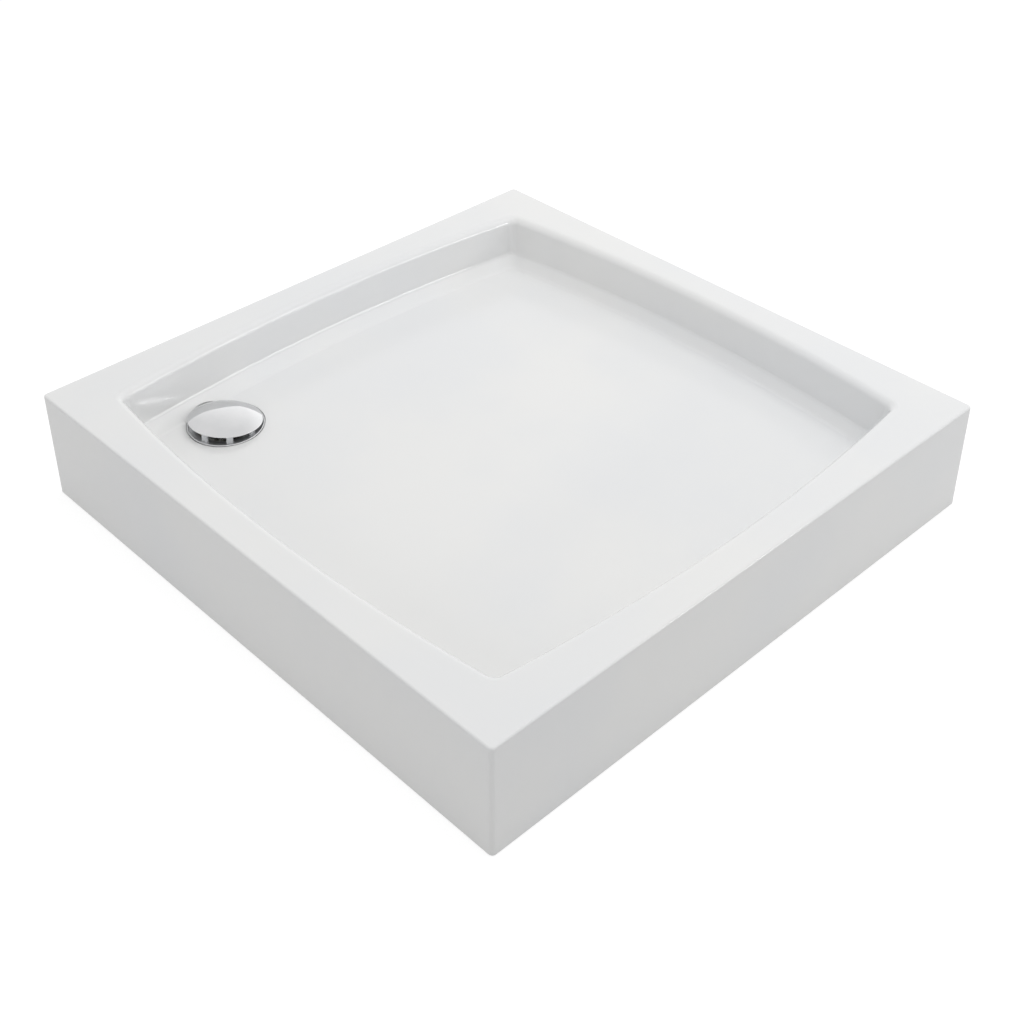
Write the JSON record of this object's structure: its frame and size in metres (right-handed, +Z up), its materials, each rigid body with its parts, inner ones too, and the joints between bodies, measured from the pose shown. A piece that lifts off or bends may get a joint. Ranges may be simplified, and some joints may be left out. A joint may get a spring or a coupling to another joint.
{
  "type": "shower tray",
  "caption": "Square moulded shower tray with bowed basin, integral aprons, domed lift-out waste cap, low trap and screw-adjusted levelling feet.",
  "frame": {"origin": "middle of the tray's outline on the floor it stands on", "axes": "+Z up; -Y the front apron, +Y the back apron that the waste pipe leaves through, the waste near -X +Y"},
  "size_m": [0.9, 0.9, 0.167],
  "materials": {
    "acrylic": "gloss",
    "glass_fibre": "rough",
    "board": "raw chipboard",
    "batten_wood": "raw softwood",
    "galvanised_steel": "spangled zinc",
    "screw_steel": "zinc plated",
    "nut_steel": "zinc plated",
    "rod_steel": "zinc plated thread",
    "foot_plastic": "moulded",
    "seal_rubber": "matt",
    "bright_flange": "polished",
    "cap_chrome": "polished",
    "trap_plastic": "moulded",
    "nut_plastic": "moulded",
    "pipe_plastic": "smooth",
    "carrier_plastic": "moulded"
  },
  "bodies": {
    "tray": {"tray_shell": "acrylic", "glass_fibre_layer": "glass_fibre", "base_board": "board", "rim_batten_right": "batten_wood", "rim_batten_back": "batten_wood", "rim_batten_left": "batten_wood", "rim_batten_front": "batten_wood", "front_rail": "galvanised_steel", "back_rail": "galvanised_steel", "centre_foot_plate": "galvanised_steel", "front_rail_screws": "screw_steel", "back_rail_screws": "screw_steel", "centre_plate_screws": "screw_steel", "flange_screws": "screw_steel", "weld_nuts": "nut_steel", "lock_nuts": "nut_steel", "upper_gasket": "seal_rubber", "lower_gasket": "seal_rubber", "outlet_seal": "seal_rubber", "waste_flange": "bright_flange", "trap_body": "trap_plastic", "union_nut": "nut_plastic", "outlet_pipe": "pipe_plastic"},
    "waste_insert": {"dome_cap": "cap_chrome", "cap_carrier": "carrier_plastic", "dip_tube": "trap_plastic", "insert_o_ring": "seal_rubber"},
    "pad_front_left": {"foot_pad_front_left": "foot_plastic"},
    "rod_front_left": {"foot_rod_front_left": "rod_steel"},
    "pad_front_right": {"foot_pad_front_right": "foot_plastic"},
    "rod_front_right": {"foot_rod_front_right": "rod_steel"},
    "pad_back_left": {"foot_pad_back_left": "foot_plastic"},
    "rod_back_left": {"foot_rod_back_left": "rod_steel"},
    "pad_back_right": {"foot_pad_back_right": "foot_plastic"},
    "rod_back_right": {"foot_rod_back_right": "rod_steel"},
    "pad_centre": {"foot_pad_centre": "foot_plastic"},
    "rod_centre": {"foot_rod_centre": "rod_steel"}
  },
  "joints": [
    {"name": "insert_lift", "type": "slide", "parent": "tray", "child": "waste_insert", "axis": [0, 0, 1], "range_m": [0, 0.12]},
    {"name": "height_front_left", "type": "slide", "parent": "tray", "child": "pad_front_left", "axis": [0, 0, -1], "range_m": [0, 0.02]},
    {"name": "turn_front_left", "type": "hinge", "parent": "pad_front_left", "child": "rod_front_left", "pos_m": [-0.29, -0.3, 0.03], "axis": [0, 0, -1], "range_deg": [0, 4115]},
    {"name": "height_front_right", "type": "slide", "parent": "tray", "child": "pad_front_right", "axis": [0, 0, -1], "range_m": [0, 0.02]},
    {"name": "turn_front_right", "type": "hinge", "parent": "pad_front_right", "child": "rod_front_right", "pos_m": [0.29, -0.3, 0.03], "axis": [0, 0, -1], "range_deg": [0, 4115]},
    {"name": "height_back_left", "type": "slide", "parent": "tray", "child": "pad_back_left", "axis": [0, 0, -1], "range_m": [0, 0.02]},
    {"name": "turn_back_left", "type": "hinge", "parent": "pad_back_left", "child": "rod_back_left", "pos_m": [-0.29, 0.185, 0.03], "axis": [0, 0, -1], "range_deg": [0, 4115]},
    {"name": "height_back_right", "type": "slide", "parent": "tray", "child": "pad_back_right", "axis": [0, 0, -1], "range_m": [0, 0.02]},
    {"name": "turn_back_right", "type": "hinge", "parent": "pad_back_right", "child": "rod_back_right", "pos_m": [0.29, 0.185, 0.03], "axis": [0, 0, -1], "range_deg": [0, 4115]},
    {"name": "height_centre", "type": "slide", "parent": "tray", "child": "pad_centre", "axis": [0, 0, -1], "range_m": [0, 0.02]},
    {"name": "turn_centre", "type": "hinge", "parent": "pad_centre", "child": "rod_centre", "pos_m": [0, -0.055, 0.03], "axis": [0, 0, -1], "range_deg": [0, 4115]}
  ],
  "couplings": [
    {"joint": "turn_front_left", "follows": "height_front_left", "rad_per_m": 3590.4},
    {"joint": "turn_front_right", "follows": "height_front_right", "rad_per_m": 3590.4},
    {"joint": "turn_back_left", "follows": "height_back_left", "rad_per_m": 3590.4},
    {"joint": "turn_back_right", "follows": "height_back_right", "rad_per_m": 3590.4},
    {"joint": "turn_centre", "follows": "height_centre", "rad_per_m": 3590.4}
  ]
}
